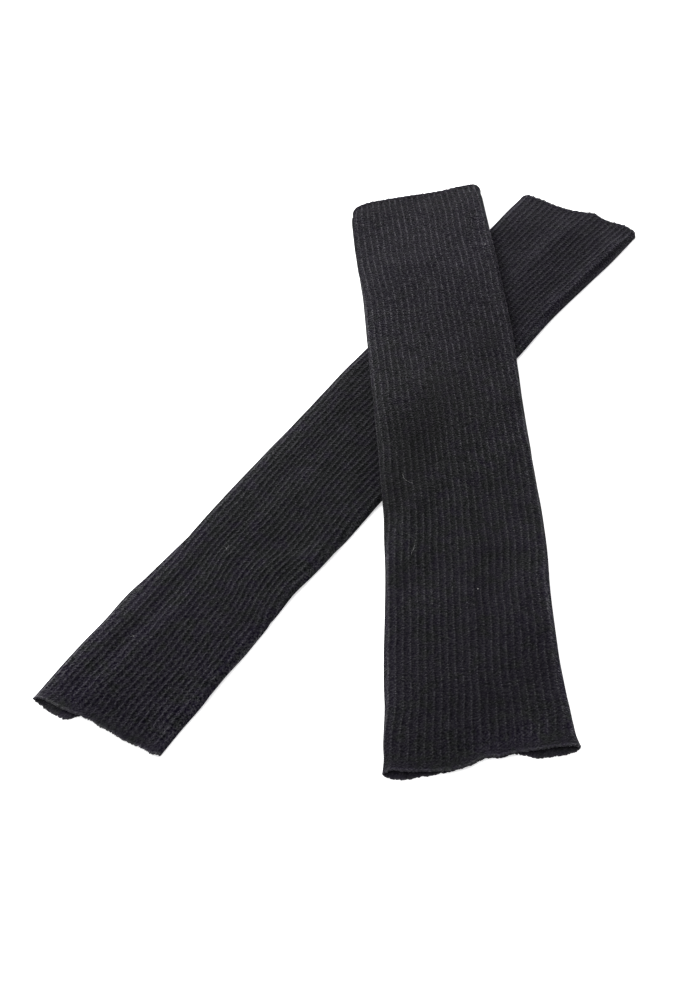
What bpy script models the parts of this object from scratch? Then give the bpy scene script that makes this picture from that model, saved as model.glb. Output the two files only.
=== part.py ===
"""A pair of ribbed knit arm warmers, laid flat and crossed.

Each warmer is one tube of knitted cloth, open at both ends and pressed flat, so that its two layers
lie on each other between two rounded side folds. The lower warmer lies on the surface along its
whole length. The upper one lies on the surface at both ends and rises over the lower one between.

Lengths are in metres. A warmer's own directions are along (from its near end to its far end) and
side (from -1 at its left fold to +1 at its right fold).
"""

import math
from collections import namedtuple

import bpy

# Driving dimensions
WARMER_LENGTH = 0.480
CLOTH_WALL = 0.0018  # thickness of the rib knit
LAYER_GAP = 0.0006  # air between the two layers where they lie pressed together
FOLD_HEIGHT = 0.0052  # height of the tube at its side folds, where the knit springs open
PRESSED_FOLD_HEIGHT = 0.0044  # height of the lower warmer's folds under the upper one
FOLD_REACH = 0.014  # distance from a fold over which the layers close on each other
CROSSING_GAP = 0.0004  # between the two warmers
CROSSING_MARGIN = 0.007  # how far the upper warmer stays level past the lower one's sides
DRAPE_REACH = 0.032  # distance over which the upper warmer comes down to the surface
PRESS_REACH = 0.020  # distance over which the lower warmer recovers its height beside the upper one
MOUTH_REACH = 0.026  # distance from an end over which its waves die away
CORNER_START = 0.88  # side at which an end's corners begin to curve back
KNIT_COLOUR = (0.023, 0.0225, 0.026, 1.0)
KNIT_ROUGHNESS = 0.95

# Mesh resolution
LAYER_STEPS = 10  # across each layer, the same on both so that they stay parallel
FOLD_STEPS = 4
BODY_STEPS = 42
MOUTH_STATIONS = (0.0, 0.003, 0.008, 0.015)  # distances of the closely spaced rings from an end

# Where a warmer lies: its near end's middle, and its heading clockwise from +Y, in degrees
Lie = namedtuple("Lie", "near_x near_y heading")
UPPER_LIE = Lie(near_x=0.0284, near_y=-0.2369, heading=4.4)
LOWER_LIE = Lie(near_x=-0.1588, near_y=-0.1699, heading=41.7)

# The outline: distances of the left and right sides from the warmer's axis, at a place along it
Outline = namedtuple("Outline", "along left right")
UPPER_OUTLINE = (
    Outline(0.000, 0.0470, 0.0478),
    Outline(0.030, 0.0455, 0.0455),
    Outline(0.080, 0.0430, 0.0450),
    Outline(0.140, 0.0395, 0.0468),
    Outline(0.200, 0.0380, 0.0468),
    Outline(0.330, 0.0392, 0.0465),
    Outline(0.410, 0.0422, 0.0436),
    Outline(0.450, 0.0436, 0.0414),
    Outline(0.480, 0.0416, 0.0408),
)
LOWER_OUTLINE = (
    Outline(0.000, 0.0422, 0.0412),
    Outline(0.040, 0.0435, 0.0390),
    Outline(0.085, 0.0448, 0.0374),
    Outline(0.120, 0.0432, 0.0354),
    Outline(0.200, 0.0448, 0.0370),
    Outline(0.300, 0.0458, 0.0385),
    Outline(0.380, 0.0440, 0.0398),
    Outline(0.450, 0.0416, 0.0440),
    Outline(0.480, 0.0402, 0.0432),
)

# A soft fold of the top layer: a ridge from one place to another, higher than the cloth beside it
Ridge = namedtuple("Ridge", "start end start_side end_side half_width height")
UPPER_RIDGES = (
    Ridge(start=0.02, end=0.30, start_side=0.05, end_side=0.02, half_width=0.10, height=0.0007),
    Ridge(start=0.30, end=0.46, start_side=-0.12, end_side=0.25, half_width=0.16, height=0.0005),
)
LOWER_RIDGES = (
    Ridge(start=0.00, end=0.27, start_side=-0.52, end_side=-0.30, half_width=0.16, height=0.0012),
    Ridge(start=0.36, end=0.48, start_side=-0.25, end_side=0.00, half_width=0.16, height=0.0010),
)

# A wave of an end's edge: how far one layer juts out and lifts there
Wave = namedtuple("Wave", "layer side half_width out lift")
UPPER_NEAR_WAVES = (
    Wave(layer="top", side=-0.42, half_width=0.28, out=0.0042, lift=0.0000),
    Wave(layer="top", side=0.70, half_width=0.30, out=-0.0005, lift=0.0018),
    Wave(layer="top", side=-0.85, half_width=0.14, out=-0.0010, lift=0.0010),
    Wave(layer="bottom", side=-0.62, half_width=0.30, out=0.0037, lift=0.0),
    Wave(layer="bottom", side=0.15, half_width=0.25, out=-0.0028, lift=0.0),
    Wave(layer="bottom", side=0.72, half_width=0.22, out=0.0026, lift=0.0),
)
UPPER_FAR_WAVES = (
    Wave(layer="top", side=0.1, half_width=0.5, out=0.0010, lift=0.0004),
    Wave(layer="bottom", side=-0.2, half_width=0.4, out=-0.0015, lift=0.0),
)
LOWER_NEAR_WAVES = (
    Wave(layer="top", side=-0.62, half_width=0.28, out=-0.0012, lift=0.0018),
    Wave(layer="top", side=0.05, half_width=0.35, out=-0.0016, lift=0.0),
    Wave(layer="top", side=0.75, half_width=0.30, out=0.0022, lift=0.0),
    Wave(layer="bottom", side=-0.62, half_width=0.24, out=0.0038, lift=0.0),
    Wave(layer="bottom", side=0.20, half_width=0.50, out=-0.0030, lift=0.0),
)
LOWER_FAR_WAVES = (
    Wave(layer="top", side=0.35, half_width=0.25, out=0.0012, lift=0.0010),
    Wave(layer="top", side=-0.5, half_width=0.3, out=0.0010, lift=0.0),
    Wave(layer="bottom", side=0.35, half_width=0.4, out=-0.0015, lift=0.0),
)

# An end: how far its middle lies out past the nominal length, how much further its right side does
# than its left, and how far its corners curve back from its edge
End = namedtuple("End", "out slant corner waves")
Warmer = namedtuple("Warmer", "lie outline ridges near far")
UPPER = Warmer(
    UPPER_LIE,
    UPPER_OUTLINE,
    UPPER_RIDGES,
    near=End(out=-0.0012, slant=-0.0024, corner=0.0, waves=UPPER_NEAR_WAVES),
    far=End(out=-0.0030, slant=0.0030, corner=0.0035, waves=UPPER_FAR_WAVES),
)
LOWER = Warmer(
    LOWER_LIE,
    LOWER_OUTLINE,
    LOWER_RIDGES,
    near=End(out=0.0, slant=0.0, corner=0.0, waves=LOWER_NEAR_WAVES),
    far=End(out=0.0, slant=0.0, corner=0.0035, waves=LOWER_FAR_WAVES),
)


def clear_scene():
    for thing in list(bpy.data.objects):
        bpy.data.objects.remove(thing, do_unlink=True)


def smooth(value):
    """Rises from 0 to 1 with level ends as value goes from 0 to 1."""
    value = min(max(value, 0.0), 1.0)
    return value * value * (3.0 - 2.0 * value)


def hump(distance, half_width):
    """Falls from 1 at no distance to nearly 0 at two half widths."""
    return math.exp(-((distance / half_width) ** 2))


def sides_at(outline, along):
    """The left and right sides' distances from the axis, eased between the outline's rows."""
    for low, high in zip(outline, outline[1:]):
        if along <= high.along:
            share = smooth((along - low.along) / (high.along - low.along))
            left = low.left + (high.left - low.left) * share
            right = low.right + (high.right - low.right) * share
            return left, right
    return outline[-1].left, outline[-1].right


def to_floor(lie, along, across):
    """A place on the surface from its distances along and across a warmer."""
    turn = math.radians(lie.heading)
    x = lie.near_x + along * math.sin(turn) + across * math.cos(turn)
    y = lie.near_y + along * math.cos(turn) - across * math.sin(turn)
    return x, y


def from_floor(lie, x, y):
    """The reverse: distances along and across a warmer from a place on the surface."""
    turn = math.radians(lie.heading)
    x, y = x - lie.near_x, y - lie.near_y
    along = x * math.sin(turn) + y * math.cos(turn)
    across = x * math.cos(turn) - y * math.sin(turn)
    return along, across


def distance_outside(warmer, x, y):
    """How far a place on the surface is outside a warmer's two sides, 0 between them."""
    along, across = from_floor(warmer.lie, x, y)
    left, right = sides_at(warmer.outline, along)
    return max(-left - across, across - right, 0.0)


def rise_over_lower(x, y):
    """Height of the upper warmer's underside: level over the lower warmer, down to 0 beside it."""
    away = distance_outside(LOWER, x, y) - CROSSING_MARGIN
    top = PRESSED_FOLD_HEIGHT + CROSSING_GAP
    return top * (1.0 - smooth(away / DRAPE_REACH))


def no_rise(x, y):
    return 0.0


def free_of_upper(x, y):
    """0 where the upper warmer presses on the lower one, 1 well away from it."""
    return smooth(distance_outside(UPPER, x, y) / PRESS_REACH)


def always_free(x, y):
    return 1.0


def ring_places():
    """Places round one ring as (side, angle): over the top, round the right fold, back along the
    bottom and round the left fold. The angle is that of the fold's arc, 90 at the top."""
    places = [(2.0 * step / LAYER_STEPS - 1.0, 90.0) for step in range(LAYER_STEPS + 1)]
    places += [(1.0, 90.0 - 180.0 * step / FOLD_STEPS) for step in range(1, FOLD_STEPS)]
    places += [(1.0 - 2.0 * step / LAYER_STEPS, -90.0) for step in range(LAYER_STEPS + 1)]
    places += [(-1.0, -90.0 - 180.0 * step / FOLD_STEPS) for step in range(1, FOLD_STEPS)]
    return places


def stations():
    """Distances of the rings along a warmer: closely spaced at the ends, even between them."""
    near = list(MOUTH_STATIONS)
    far = [WARMER_LENGTH - distance for distance in reversed(MOUTH_STATIONS)]
    start, end = near[-1], far[0]
    body = [start + (end - start) * step / BODY_STEPS for step in range(1, BODY_STEPS)]
    return near + body + far


def edge_shift(end, side, height_share):
    """How far an end's edge juts out and lifts at a place round it. height_share is 0 on the
    bottom layer and 1 on the top one."""
    corner = smooth((abs(side) - CORNER_START) / (1.0 - CORNER_START))
    out = end.out + end.slant * side / 2.0 - end.corner * corner
    lift = 0.0
    for wave in end.waves:
        share = height_share if wave.layer == "top" else 1.0 - height_share
        weight = share * hump(side - wave.side, wave.half_width)
        out += wave.out * weight
        lift += wave.lift * weight
    return out, lift


def ridge_height(ridges, along, side):
    """Height of the top layer's soft folds, each fading at both its ends."""
    height = 0.0
    for ridge in ridges:
        share = (along - ridge.start) / (ridge.end - ridge.start)
        middle = ridge.start_side + (ridge.end_side - ridge.start_side) * share
        fade = smooth(share * 4.0 + 0.5) * smooth((1.0 - share) * 4.0 + 0.5)
        height += ridge.height * fade * hump(side - middle, ridge.half_width)
    return height


def cloth_point(warmer, along, side, angle, rise, freedom):
    """A point of a warmer's outer face."""
    left, right = sides_at(warmer.outline, along)
    middle = (right - left) / 2.0
    half = (left + right) / 2.0
    arc = math.radians(angle)
    height_share = (1.0 + math.sin(arc)) / 2.0

    out_near, lift_near = edge_shift(warmer.near, side, height_share)
    out_far, lift_far = edge_shift(warmer.far, side, height_share)
    near = 1.0 - smooth(along / MOUTH_REACH)
    far = 1.0 - smooth((WARMER_LENGTH - along) / MOUTH_REACH)

    x, y = to_floor(warmer.lie, along, middle + side * half)
    free = freedom(x, y)
    fold = PRESSED_FOLD_HEIGHT + (FOLD_HEIGHT - PRESSED_FOLD_HEIGHT) * free
    flat_half = half - fold / 2.0
    across = middle + side * flat_half + fold / 2.0 * math.cos(arc)
    from_fold = (1.0 - abs(side)) * flat_half
    closing = (fold - 2.0 * CLOTH_WALL - LAYER_GAP) * smooth(from_fold / FOLD_REACH)
    ridges = ridge_height(warmer.ridges, along, side) * free
    over = ridges - closing + lift_near * near + lift_far * far
    height = height_share * (fold + over)

    x, y = to_floor(warmer.lie, along - out_near * near + out_far * far, across)
    return x, y, height + rise(x, y)


def knit_material():
    material = bpy.data.materials.new("black_rib_knit")
    material.use_nodes = True
    shader = material.node_tree.nodes["Principled BSDF"]
    shader.inputs["Base Color"].default_value = KNIT_COLOUR
    shader.inputs["Roughness"].default_value = KNIT_ROUGHNESS
    shader.inputs["Metallic"].default_value = 0.0
    return material


def tube_mesh(name, rings):
    """A loft through rings of equal count, open at both ends, with its faces pointing out."""
    count = len(rings[0])
    points = [point for ring in rings for point in ring]
    faces = []
    for ring in range(len(rings) - 1):
        for place in range(count):
            after = (place + 1) % count
            low, high = ring * count, (ring + 1) * count
            faces.append((low + place, low + after, high + after, high + place))
    mesh = bpy.data.meshes.new(name)
    mesh.from_pydata(points, [], faces)
    mesh.shade_smooth()
    mesh.set_sharp_from_angle(angle=math.radians(60))
    return mesh


def add_warmer(name, warmer, rise, freedom, collection):
    rings = [
        [cloth_point(warmer, along, side, angle, rise, freedom) for side, angle in ring_places()]
        for along in stations()
    ]
    mesh = tube_mesh(name, rings)
    mesh.materials.append(knit_material())
    tube = bpy.data.objects.new(name, mesh)
    collection.objects.link(tube)
    wall = tube.modifiers.new("cloth_wall", "SOLIDIFY")
    wall.thickness = CLOTH_WALL
    wall.offset = -1.0
    wall.use_even_offset = True
    return tube


def main():
    clear_scene()
    collection = bpy.data.collections.new("arm_warmers")
    bpy.context.scene.collection.children.link(collection)
    add_warmer("lower_warmer", LOWER, no_rise, free_of_upper, collection)
    add_warmer("upper_warmer", UPPER, rise_over_lower, always_free, collection)


main()
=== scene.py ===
import bpy
import numpy as np
from mathutils import Matrix, Vector


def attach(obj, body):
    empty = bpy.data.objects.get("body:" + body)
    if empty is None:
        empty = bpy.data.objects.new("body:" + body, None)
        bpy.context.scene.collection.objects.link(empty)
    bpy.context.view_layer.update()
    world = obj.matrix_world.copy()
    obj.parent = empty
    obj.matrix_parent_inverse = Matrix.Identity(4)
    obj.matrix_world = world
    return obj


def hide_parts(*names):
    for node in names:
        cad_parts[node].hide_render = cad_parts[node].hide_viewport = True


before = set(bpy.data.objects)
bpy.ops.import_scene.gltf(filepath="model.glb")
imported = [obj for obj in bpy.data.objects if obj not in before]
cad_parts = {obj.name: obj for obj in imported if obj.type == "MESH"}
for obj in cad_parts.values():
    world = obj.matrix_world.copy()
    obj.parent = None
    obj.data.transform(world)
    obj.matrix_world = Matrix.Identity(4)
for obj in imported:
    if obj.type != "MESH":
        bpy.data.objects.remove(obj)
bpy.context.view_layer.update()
print("frame loaded")

# What both warmers share: the sizes of the tube, as in the CAD solids
tube = dict(
    length=0.480,
    wall=0.0018,
    height=0.0054,  # of the two layers where they lie free
    pressedHeight=0.0042,  # under the other warmer
    foldMiddle=0.0019,  # height of a fold's outermost line
    shoulder=0.0058,  # how far in from there the top layer is level
    foldWall=0.0011,
    creaseReach=0.008,  # creases fade over this much at the folds
    crossingGap=0.0004,
    crossingMargin=0.007,
    drapeReach=0.032,
    topDrapeReach=0.055,  # the top layer comes down more slowly than the one below it
    pressReach=0.020,
    mouthReach=0.026,  # how far in from a rim its own shape reaches
    cornerStart=0.88,  # side from which a rim's corners are rounded
    cornerTurn=0.97,  # 1 turns them a full quarter circle
    rimHang=0.0012,  # a top layer that juts out by more than this hangs down, by as much at most
    hangReach=0.0025,
    archShare=0.35,  # how much of a fold's height the layer below it takes up too
    ridgeFade=4.0,  # ridges and creases fade over one part in so many of their lines, round each end
    creaseFade=2.5,
    foldHighlightReach=0.0045,
    foldPlaces=60,  # in each half of the fold's table
)

# The rib knit
knit = dict(
    ribs=48,  # round the tube
    pitch=0.00378,  # from rib to rib on the top layer
    course=0.00210,  # height of one row of stitches
    relief=0.00062,  # from the valleys up to the ribs
    ribWidth=0.25,  # half width of a rib, as a share of the pitch
    insideRelief=0.00035,
    rimRelief=0.22,  # share of the relief that is left at the rims
    nearFade=0.0110,  # how far from the near rim the ribs are at their full height
    farFade=0.0040,
    rimWall=0.0011,
    rimTaper=0.0040,
    wallShare=0.46,  # most of the height between the layers that one wall takes up
    foldWallShare=0.75,  # and the share of that which is left at the folds
    bead=0.00055,  # how far the bound-off edge juts out
    beadRows=6,
    beadBulge=0.00010,
    bulgePlace=0.0003,
    bulgeReach=0.0009,
    scallop=0.00020,  # how far each rib juts out at the rims
    fray=0.00022,  # how unevenly the loops of the rims end
    frayReach=0.0022,
    beadHighlight=3.0,  # painted highlight: how much paler the bound-off edge is drawn, where light catches its rounded top
    beadHighlightReach=0.0006,
    # painted light: the inner face is drawn this much paler, as if more light reached into the mouths
    insidePaintedFill=2.6,
    rimFuzz=0.3,  # share of the grain that is left at the rims
    rowStep=0.0033,  # of the mesh between the rims
    insideStep=3,  # the inner face has every third of those rows
    driftReach=10.0,  # outermost ribs of the drift tables, and from one to the next
    driftStep=5.0,
    waves=((0.061, 5.0, 0.050), (0.027, 2.3, 0.030)),  # length, reach in ribs and size of the small strays
    nearToFar=(-0.24, 0.24),  # y of the pair's two ends
    bakeMap=(0.70, 0.73, 0.97),  # where the outer face, the far bead and the inner face end on that map
)

# Where the columns of one rib's mesh stand, in pitches from the rib's middle
ribColumns = np.array([-0.40, -0.28, -0.17, -0.06, 0.06, 0.17, 0.28, 0.40])

# And where its rows stand at a rim, from the bead's inner side
rimRows = np.array([0.0, 0.0006, 0.0013, 0.0021, 0.0030, 0.0041, 0.0054, 0.0072, 0.0094, 0.0120])

# The turn of each row of a bead, from the outer face round to the inner one
beadTurn = np.linspace(0.0, np.pi, knit["beadRows"] + 2)[1:-1]

upperWarmer = dict(
    near=(0.0284, -0.2369),
    heading=4.4,  # degrees clockwise from +Y
    outline=[  # along, left, right
        (0.000, 0.0488, 0.0490),
        (0.006, 0.0482, 0.0479),
        (0.020, 0.0476, 0.0474),
        (0.042, 0.0453, 0.0462),
        (0.060, 0.0447, 0.0453),
        (0.080, 0.0436, 0.0453),
        (0.110, 0.0414, 0.0459),
        (0.140, 0.0395, 0.0475),
        (0.160, 0.0388, 0.0479),
        (0.200, 0.0380, 0.0476),
        (0.240, 0.0383, 0.0469),
        (0.330, 0.0398, 0.0466),
        (0.370, 0.0405, 0.0452),
        (0.410, 0.0430, 0.0437),
        (0.450, 0.0442, 0.0416),
        (0.480, 0.0430, 0.0410),
    ],
    ridges=[  # start, end, start side, end side, half width as a share of the side, height
        (0.02, 0.30, 0.05, 0.02, 0.10, 0.0007),
        (0.30, 0.46, -0.12, 0.25, 0.16, 0.0005),
    ],
    nearCorner=0.0,
    farCorner=0.0060,
    nearRim=[  # side, how far the top and the bottom layer jut out, and the height they lie in
        (-1.00, -0.0012, -0.0012, 0.0038),
        (-0.90, -0.0016, 0.0014, 0.0042),
        (-0.78, 0.0000, 0.0026, 0.0043),
        (-0.60, 0.0009, 0.0020, 0.0036),
        (-0.40, 0.0013, 0.0013, 0.0027),
        (-0.28, 0.0012, 0.0006, 0.0026),
        (-0.12, -0.0006, -0.0014, 0.0026),
        (0.02, -0.0038, -0.0044, 0.0026),
        (0.08, -0.0046, -0.0050, 0.0026),
        (0.17, -0.0038, -0.0040, 0.0027),
        (0.32, -0.0047, -0.0054, 0.0027),
        (0.43, -0.0046, -0.0040, 0.0030),
        (0.54, -0.0042, -0.0014, 0.0038),
        (0.72, -0.0042, -0.0012, 0.0043),
        (0.90, -0.0042, -0.0020, 0.0042),
        (1.00, -0.0044, -0.0044, 0.0036),
    ],
    farRim=[
        (-1.00, -0.0085, -0.0085, 0.0032),
        (-0.90, -0.0080, -0.0086, 0.0031),
        (-0.80, -0.0060, -0.0068, 0.0030),
        (-0.60, -0.0043, -0.0056, 0.0030),
        (-0.40, -0.0035, -0.0050, 0.0030),
        (0.00, -0.0033, -0.0045, 0.0032),
        (0.35, -0.0031, -0.0042, 0.0030),
        (0.60, -0.0025, -0.0036, 0.0030),
        (0.85, -0.0028, -0.0034, 0.0030),
        (1.00, -0.0040, -0.0040, 0.0032),
    ],
    creases=[  # start along, start across, end along, end across, bow, left and right widths, height
        (0.258, -0.036, 0.281, -0.002, 0.002, 0.034, 0.052, 0.0022),
        (0.153, -0.031, 0.202, -0.005, -0.003, 0.006, 0.007, 0.0009),
        (0.147, -0.038, 0.146, 0.040, 0.001, 0.013, 0.008, 0.0006),
        (0.108, -0.037, 0.112, -0.003, 0.001, 0.012, 0.012, 0.0007),
        (0.114, 0.016, 0.119, 0.043, 0.000, 0.010, 0.015, 0.0010),
        (0.060, 0.012, 0.112, 0.030, 0.002, 0.008, 0.010, 0.0010),
        (0.084, 0.028, 0.098, 0.044, 0.000, 0.020, 0.026, 0.0010),
        (0.059, -0.037, 0.054, 0.008, 0.002, 0.013, 0.012, 0.0006),
        (0.306, 0.004, 0.309, 0.036, 0.001, 0.014, 0.010, 0.0007),
        (0.370, -0.002, 0.386, 0.034, 0.002, 0.022, 0.015, 0.0009),
        (0.398, -0.033, 0.399, 0.012, 0.002, 0.018, 0.008, 0.0009),
    ],
    drift=[  # along, and how far the ribs stray to the right at ribs -10, -5, 0, 5 and 10, in pitches
        (0.000, -1.45, -1.20, -1.00, -0.45, -0.35),
        (0.020, -1.00, -0.75, -0.70, -0.20, 0.00),
        (0.040, -0.50, -0.35, -0.35, -0.20, -0.10),
        (0.065, -0.10, 0.00, -0.15, -0.15, 0.00),
        (0.090, 0.10, 0.15, 0.10, 0.10, 0.00),
        (0.115, 0.05, 0.10, -0.05, 0.00, -0.10),
        (0.145, 0.05, 0.10, 0.00, 0.10, 0.05),
        (0.170, 0.45, 0.40, 0.05, 0.05, 0.15),
        (0.205, 0.35, 0.45, 0.05, 0.05, 0.15),
        (0.235, 0.45, 0.45, 0.15, 0.00, 0.00),
        (0.265, 0.20, 0.30, 0.15, 0.00, 0.00),
        (0.300, 0.00, 0.05, -0.10, -0.10, -0.10),
        (0.335, -0.05, -0.15, -0.40, -0.30, -0.30),
        (0.375, -0.15, -0.20, -0.40, -0.35, -0.20),
        (0.415, -0.55, -0.45, -0.40, -0.40, -0.40),
        (0.440, -0.40, -0.25, -0.25, -0.30, -0.20),
        (0.480, -0.55, -0.70, -0.80, -0.85, -0.85),
    ],
    tone=0.90,  # how pale its knit is drawn, partly from its nap and partly as painted shade of how the light falls on it
    stripes=(0.84, 1.30),  # how strong the ribs' paler middles are at the near and the far end, partly a painted highlight of the light from behind running along the ribs
    fuzz=(0.85, 1.15),  # and how strong the grain is
    foldHighlights=(0.12, 0.20),  # painted highlight: how much paler the left and the right fold are drawn, where light catches the fuzz at the folds
    tones=[  # painted shade and light: paler and darker places of the knit for its gentle slopes, painted shadows along the other warmer's edges and painted highlights along the folds, as the creases above, with a tone for the height
        (0.008, -0.006, 0.012, 0.040, 0.000, 0.009, 0.007, 0.42),
        (0.020, -0.043, 0.165, -0.042, 0.000, 0.005, 0.005, 0.16),
        (0.020, 0.002, 0.100, 0.000, 0.000, 0.040, 0.040, -0.10),
        (0.034, -0.020, 0.036, 0.024, 0.000, 0.008, 0.008, -0.15),
        (0.010, 0.0460, 0.130, 0.0443, 0.000, 0.0022, 0.0022, 0.75),
        (0.046, 0.028, 0.062, 0.038, 0.000, 0.008, 0.008, -0.20),
        (0.068, -0.024, 0.072, 0.006, 0.001, 0.008, 0.008, -0.10),
        (0.080, 0.006, 0.094, 0.014, 0.000, 0.006, 0.006, -0.10),
        (0.080, 0.024, 0.096, 0.034, 0.000, 0.007, 0.007, 0.18),
        (0.100, -0.034, 0.106, -0.010, 0.000, 0.008, 0.008, 0.16),
        (0.108, 0.012, 0.162, 0.019, 0.001, 0.009, 0.009, -0.18),
        (0.118, -0.004, 0.116, 0.006, 0.000, 0.007, 0.007, 0.10),
        (0.140, -0.037, 0.170, -0.022, 0.000, 0.009, 0.009, 0.38),
        (0.112, 0.041, 0.158, 0.039, 0.000, 0.006, 0.006, 0.16),
        (0.172, -0.014, 0.192, 0.010, 0.000, 0.010, 0.010, 0.24),
        (0.178, -0.038, 0.250, -0.010, 0.003, 0.016, 0.014, -0.38),
        (0.252, -0.012, 0.288, 0.004, 0.000, 0.011, 0.011, -0.22),
        (0.202, 0.010, 0.226, 0.036, 0.000, 0.010, 0.010, 0.26),
        (0.262, 0.004, 0.284, 0.022, 0.000, 0.010, 0.010, -0.14),
        (0.462, 0.012, 0.470, 0.022, 0.000, 0.008, 0.008, -0.16),
        (0.236, -0.010, 0.262, 0.020, 0.000, 0.013, 0.013, -0.19),
        (0.284, 0.029, 0.322, 0.037, 0.000, 0.008, 0.008, -0.19),
        (0.226, 0.038, 0.240, 0.046, 0.000, 0.006, 0.006, 0.28),
        (0.250, 0.046, 0.262, 0.046, 0.000, 0.005, 0.005, -0.35),
        (0.276, -0.041, 0.350, -0.040, 0.000, 0.005, 0.005, 0.22),
        (0.316, -0.036, 0.350, -0.028, 0.000, 0.009, 0.009, 0.18),
        (0.308, 0.030, 0.334, 0.010, 0.000, 0.012, 0.012, -0.16),
        (0.324, 0.038, 0.352, 0.028, 0.000, 0.008, 0.008, -0.14),
        (0.362, 0.000, 0.370, 0.014, 0.000, 0.007, 0.007, 0.10),
        (0.382, 0.018, 0.410, 0.034, 0.000, 0.010, 0.010, 0.18),
        (0.398, 0.039, 0.450, 0.040, 0.000, 0.006, 0.006, 0.20),
        (0.410, -0.010, 0.422, 0.006, 0.000, 0.008, 0.008, -0.12),
        (0.444, 0.004, 0.450, 0.020, 0.000, 0.008, 0.008, -0.16),
        (0.466, -0.040, 0.466, 0.036, 0.001, 0.010, 0.010, -0.26),
    ],
    fibres=[  # along, across, length, turn away from along and bend in degrees, half thickness
        (0.2010, -0.0236, 0.0140, 160.0, -110.0, 0.00004),
        (0.1492, -0.0228, 0.0110, -165.0, 25.0, 0.00003),
        (0.1460, -0.0236, 0.0060, -150.0, -70.0, 0.00003),
        (0.1138, 0.0084, 0.0009, 0.0, 0.0, 0.00026),
        (0.4041, 0.0384, 0.0011, 30.0, 0.0, 0.00028),
        (0.3626, 0.0132, 0.0008, 0.0, 0.0, 0.00010),
    ],
    seed=11,
)

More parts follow.
